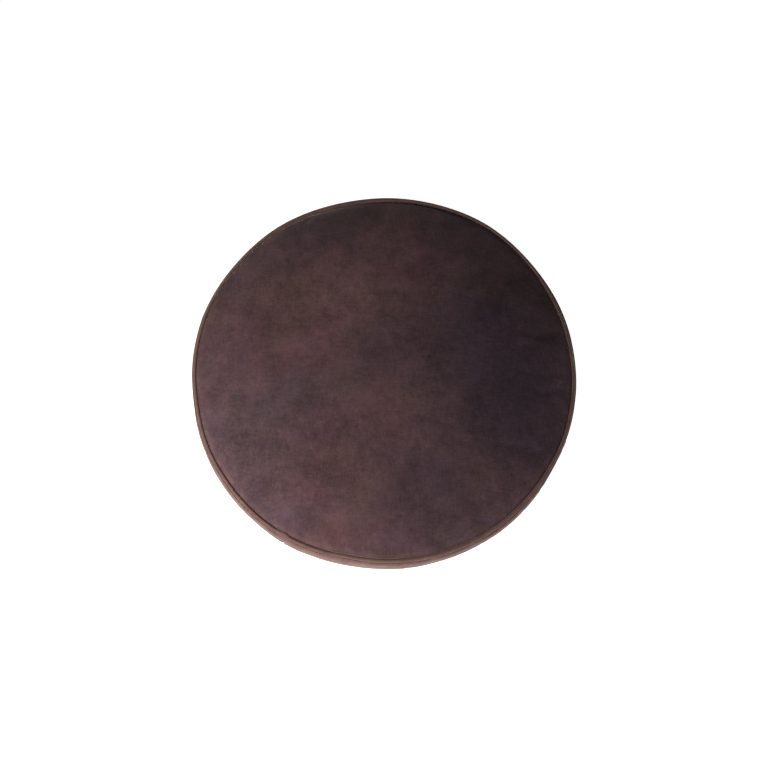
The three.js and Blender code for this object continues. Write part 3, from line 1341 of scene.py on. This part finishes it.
    def sew(self, piece: bpy.types.Object) -> None:
        """Draws in the closing seam and the tucks beside the other seams, and sets it in place.

        Args:
            piece: The pressed side.
        """
        points = take_points(piece)
        azimuths = azimuths_of(points)
        radius = radii_of(points)
        from_top = read_round(self.seam.heights, azimuths) - self.seam.cord_radius - points[:, 2]
        from_base = points[:, 2] - self.axis.base_top
        wall = (radius > self.axis.base_radius - 1.0 * MM) & (from_top > 0.0)
        clear = ease(from_top / self.flat_by_seam) * ease(from_base / self.flat_by_seam) * wall
        across = np.radians(turn_between(JOIN_AZIMUTH, azimuths)) * radius
        depth = self.groove * np.exp(-np.abs(across / self.groove_width) ** 1.5)
        pull = self.closing_pull * np.sin(points[:, 2] / self.stitch_wave)
        depth += pull * soft_wave(np.abs(across) - self.pull_at, self.pull_spread)
        depth += self.top_puckers.depth_at(azimuths, np.maximum(from_top, 0.0), self.seam.radius)
        depth += self.base_puckers.depth_at(azimuths, np.maximum(from_base, 0.0), self.seam.radius)
        points -= outward(piece) * (depth * clear)[:, None]
        put_points(piece, points + self.axis.middle)
        # painted sheen: the side's shoulder under the piping is marked paler, with some rubbing
        painted_light_and_wear = ease((from_top + self.painted_light_and_wear_from) / self.painted_light_and_wear_ease)
        painted_light_and_wear *= soft_wave(np.maximum(from_top, 0.0), self.painted_light_and_wear_spread) * self.painted_light_and_wear_strength
        mark_points(piece, "edge", painted_light_and_wear * (radius > self.axis.base_radius))


@dataclass
class PipingCord:
    """The covered cord in the top seam, a bias strip drawn tight, its ends lapped."""

    axis: PoufAxis
    seam: SeamPath
    steps: int = 180
    cuts: int = 7  # each step is cut into this many more
    sides: int = 16
    crease_pitch: float = 3.4 * MM
    crease_depth: float = 0.07 * MM
    crease_slant: float = 1.2  # how far a crease runs along the cord for its way round it
    second_pitch: float = 1.37  # a second set of creases, over the first set's pitch
    swell_pitch: float = 31.0 * MM  # the creases grow and fade over this
    lap_length: float = 13.0 * MM
    lap_height: float = 0.55 * MM
    lap_slant: float = 0.8
    lap_edge: float = 1.2 * MM  # the width of the lap's step
    lap_run_out: float = 10.0 * MM
    lap_cover: float = 2.1 * MM  # how far the lap leans over the crease beside it
    sharp_angle: float = 70.0

    def build(self, velvet: bpy.types.Material) -> bpy.types.Object:
        """Makes the piping and dresses it.

        Args:
            velvet: The bias-cut velvet's material.

        Returns:
            The finished piece.
        """
        start_fresh()
        bpy.ops.mesh.primitive_torus_add(
            major_segments=self.steps,
            minor_segments=self.sides,
            major_radius=self.seam.radius,
            minor_radius=self.seam.cord_radius,
            generate_uvs=True,
        )
        piece = bpy.context.object
        piece.name = "piping_cord"
        self.cut_finer(piece)
        points = take_points(piece)
        azimuths = azimuths_of(points)
        out = radii_of(points) - self.seam.radius
        section = np.arctan2(points[:, 2], out)
        along = np.radians(turn_between(JOIN_AZIMUTH, azimuths)) * self.seam.radius
        girth = self.seam.cord_radius + self.creases(along, section) + self.lap(along, section)
        radius = read_round(self.seam.radii, azimuths) + girth * np.cos(section)
        height = read_round(self.seam.heights, azimuths) + girth * np.sin(section)
        put_points(piece, set_round(azimuths, radius, height) + self.axis.middle)
        # painted light: the cord's upper half is marked paler, most at its top, with some rubbing
        mark_points(piece, "edge", np.clip(np.sin(section), 0.0, 1.0))
        self.measure_cloth(piece)
        shade_smoothly(piece, self.sharp_angle)
        hand_over(piece, "piping", velvet)
        return piece

    def cut_finer(self, piece: bpy.types.Object) -> None:
        """Cuts the torus's lengthwise edges, so that its rings lie closer.

        Args:
            piece: The torus, which is the active object.
        """
        points = take_points(piece)
        ends = np.array([edge.vertices[:] for edge in piece.data.edges])
        turns = azimuths_of(points)[ends]
        lengthwise = np.abs(turn_between(0.0, turns[:, 1] - turns[:, 0])) > FULL_TURN / self.steps / 2
        choose_points(piece, np.zeros(len(points), bool))
        bpy.ops.mesh.select_mode(type="EDGE")
        bpy.ops.object.mode_set(mode="OBJECT")
        piece.data.edges.foreach_set("select", lengthwise)
        bpy.ops.object.mode_set(mode="EDIT")
        bpy.ops.mesh.subdivide(number_cuts=self.cuts)
        bpy.ops.object.mode_set(mode="OBJECT")

    def creases(self, along: np.ndarray, section: np.ndarray) -> np.ndarray:
        """Slanting creases that the bias strip takes round the curve.

        Args:
            along: Each point's way along the cord.
            section: Each point's angle round the cord.

        Returns:
            How far each point stands out.
        """
        slanted = along + section * self.seam.cord_radius * self.crease_slant
        first = np.sin(slanted * 2.0 * math.pi / self.crease_pitch)
        second = np.sin(slanted * 2.0 * math.pi / (self.crease_pitch * self.second_pitch) + 1.3)
        swell = 0.6 + 0.4 * np.sin(along * 2.0 * math.pi / self.swell_pitch)
        return self.crease_depth * swell * (first + 0.7 * second)

    def lap(self, along: np.ndarray, section: np.ndarray) -> np.ndarray:
        """The strip's outer end, which lies over the other and leans on the top.

        Args:
            along: Each point's way along the cord from the join.
            section: Each point's angle round the cord.

        Returns:
            How far each point stands out.
        """
        slanted = along + section * self.seam.cord_radius * self.lap_slant
        edge = ease((slanted + self.lap_length / 2) / self.lap_edge)
        run_out = 1.0 - ease((slanted - self.lap_length / 2) / self.lap_run_out)
        height = self.lap_height * np.clip(np.sin(section) + 0.3, 0.0, 1.0)
        inward = np.clip(-np.cos(section), 0.0, 1.0) * np.clip(np.sin(section) + 0.35, 0.0, 1.0)
        cover = self.lap_cover * inward * soft_wave(along, self.lap_length * 0.45)
        return edge * run_out * height + cover

    def measure_cloth(self, piece: bpy.types.Object) -> None:
        """Names the torus's own UV map and gives it real lengths, along and round the cord.

        Args:
            piece: The torus.
        """
        layer = piece.data.uv_layers[0]
        layer.name = "cord"
        flat = np.empty(len(layer.data) * 2, np.float32)
        layer.data.foreach_get("uv", flat)
        flat[0::2] *= 2.0 * math.pi * self.seam.radius
        flat[1::2] *= 2.0 * math.pi * self.seam.cord_radius
        layer.data.foreach_set("uv", flat)


@dataclass
class BaseCloth:
    """The flat woven disc that closes the pouf below."""

    axis: PoufAxis
    columns: int = 180
    thickness: float = 1.2 * MM
    turned_edge: float = 9.0 * MM
    turned_rise: float = 0.7 * MM
    fold: float = 0.5 * MM  # the turned edge's soft rim
    sharp_angle: float = 30.0

    def build(self, cloth: bpy.types.Material) -> bpy.types.Object:
        """Makes the base cloth and dresses it.

        Args:
            cloth: The base cloth's material.

        Returns:
            The finished piece.
        """
        radius = self.axis.base_radius
        start_fresh()
        bpy.ops.mesh.primitive_circle_add(
            vertices=self.columns, radius=radius, fill_type="TRIFAN", location=tuple(self.axis.middle)
        )
        piece = bpy.context.object
        piece.name = "base_cloth"
        bpy.ops.object.transform_apply(location=True, rotation=True, scale=True)
        bpy.ops.object.mode_set(mode="EDIT")
        bpy.ops.mesh.select_all(action="SELECT")
        bpy.ops.mesh.extrude_region_move(TRANSFORM_OT_translate={"value": (0.0, 0.0, self.thickness)})
        bpy.ops.mesh.inset(thickness=self.fold)
        bpy.ops.mesh.inset(thickness=self.turned_edge)
        bpy.ops.transform.translate(value=(0.0, 0.0, -self.turned_rise))
        close_outward()
        shade_smoothly(piece, self.sharp_angle)
        hand_over(piece, "base_panel", cloth)
        return piece


# The studio


@dataclass
class PhotoCamera:
    """The camera of the photograph, held close over the pouf and a little to its front."""

    seam: SeamPath
    aside: float = 0.4 * MM  # the lens's way from the seam ring's middle, apart from its distance
    behind: float = 0.5 * MM
    distance: float = 0.7335
    elevation: float = 71.893
    extra_tilt: float = 2.047  # the lens looks past the seam ring's middle, towards the front
    lens: float = 26.21  # in millimetres, as the sensor's width is
    sensor: float = 36.0
    furthest: float = 100.0  # what the lens still sees

    def build(self) -> bpy.types.Object:
        """Makes the camera and sets it as the scene's.

        Returns:
            The camera.
        """
        rise = math.radians(self.elevation)
        camera = bpy.data.objects.new("photo_camera", bpy.data.cameras.new("photo_camera"))
        camera.location = (
            self.aside,
            self.behind - self.distance * math.cos(rise),
            self.seam.height + self.distance * math.sin(rise),
        )
        camera.rotation_euler = (math.radians(90.0 - self.elevation - self.extra_tilt), 0.0, 0.0)
        camera.data.lens = self.lens
        camera.data.sensor_width = self.sensor
        camera.data.clip_end = self.furthest
        bpy.context.scene.collection.objects.link(camera)
        bpy.context.scene.camera = camera
        return camera


@dataclass(frozen=True)
class SoftLamp:
    """A round soft lamp that hangs beside the pouf."""

    name: str
    place: tuple[float, float, float]
    width: float
    power: float  # in watts
    colour: tuple[float, float, float]

    def hang(self, aim: tuple[float, float, float]) -> None:
        """Hangs the lamp, out of the camera's sight.

        Args:
            aim: The point that it faces.
        """
        lamp = bpy.data.lights.new(self.name, "AREA")
        lamp.shape = "DISK"
        lamp.size = self.width
        lamp.energy = self.power
        lamp.color = self.colour
        hung = bpy.data.objects.new(self.name, lamp)
        hung.location = self.place
        way = np.array(aim) - np.array(self.place)
        tilt = math.acos(-way[2] / float(np.linalg.norm(way)))
        hung.rotation_euler = (tilt, 0.0, math.atan2(way[1], way[0]) - math.pi / 2)
        hung.visible_camera = False
        bpy.context.scene.collection.objects.link(hung)


@dataclass
class Studio:
    """A pale floor, two soft lamps, a faint cool sky and the pale ground that the camera sees."""

    floor_size: float = 60.0
    floor_cuts: int = 4
    aim: tuple[float, float, float] = (0.05, 0.05, 0.32)
    lamps: tuple[SoftLamp, ...] = (
        SoftLamp("key_light", (-0.485, -0.353, 0.70), 0.5, 7.2, (1.0, 0.955, 0.87)),
        SoftLamp("fill_light", (0.70, -1.30, 0.42), 0.5, 12.5, (1.0, 0.96, 0.90)),
    )
    sky: float = 0.065
    sky_colour: Colour = (0.58, 0.64, 1.0, 1.0)
    ground_colour: Colour = (0.93, 0.94, 0.96, 1.0)

    def lay_floor(self) -> None:
        """Lays the floor."""
        start_fresh()
        bpy.ops.mesh.primitive_grid_add(
            x_subdivisions=self.floor_cuts, y_subdivisions=self.floor_cuts, size=self.floor_size
        )
        floor = bpy.context.object
        floor.name = "studio_floor"
        floor.data.materials.append(FloorFinish().build())

    def paint_sky(self) -> None:
        """Makes the sky that lights the pouf, and the ground that the camera sees in its place."""
        world = bpy.data.worlds.new("studio_sky")
        palette = Palette(world)
        kind = "ShaderNodeBackground"
        lit = palette.node(kind, {}, {"Color": self.sky_colour, "Strength": self.sky})
        seen = palette.node(kind, {}, {"Color": self.ground_colour, "Strength": 1.0})
        path = palette.node("ShaderNodeLightPath")
        seen_first = {0: path.outputs["Is Camera Ray"], 1: lit.outputs[0], 2: seen.outputs[0]}
        either = palette.node("ShaderNodeMixShader", {}, seen_first)
        palette.node("ShaderNodeOutputWorld", {}, {"Surface": either.outputs[0]})
        bpy.context.scene.world = world

    def build(self) -> None:
        """Makes the floor, the lamps and the sky."""
        self.lay_floor()
        for lamp in self.lamps:
            lamp.hang(self.aim)
        self.paint_sky()
        bpy.context.scene.view_settings.view_transform = "Standard"
        bpy.context.scene.view_settings.look = "None"


def main() -> None:
    """Builds the pouf piece by piece, and the studio round it."""
    logging.basicConfig(level=logging.INFO, format="%(name)s: %(message)s")
    axis = PoufAxis()
    seam = SeamPath(axis)
    PhotoCamera(seam).build()
    TopVelvet(axis, seam).build(VelvetFinish().build())
    SideVelvet(axis, seam).build(SIDE_FINISH.build())
    PipingCord(axis, seam).build(PipingFinish().build())
    BaseCloth(axis).build(BaseClothFinish().build())
    Studio().build()


if __name__ == "__main__":
    main()
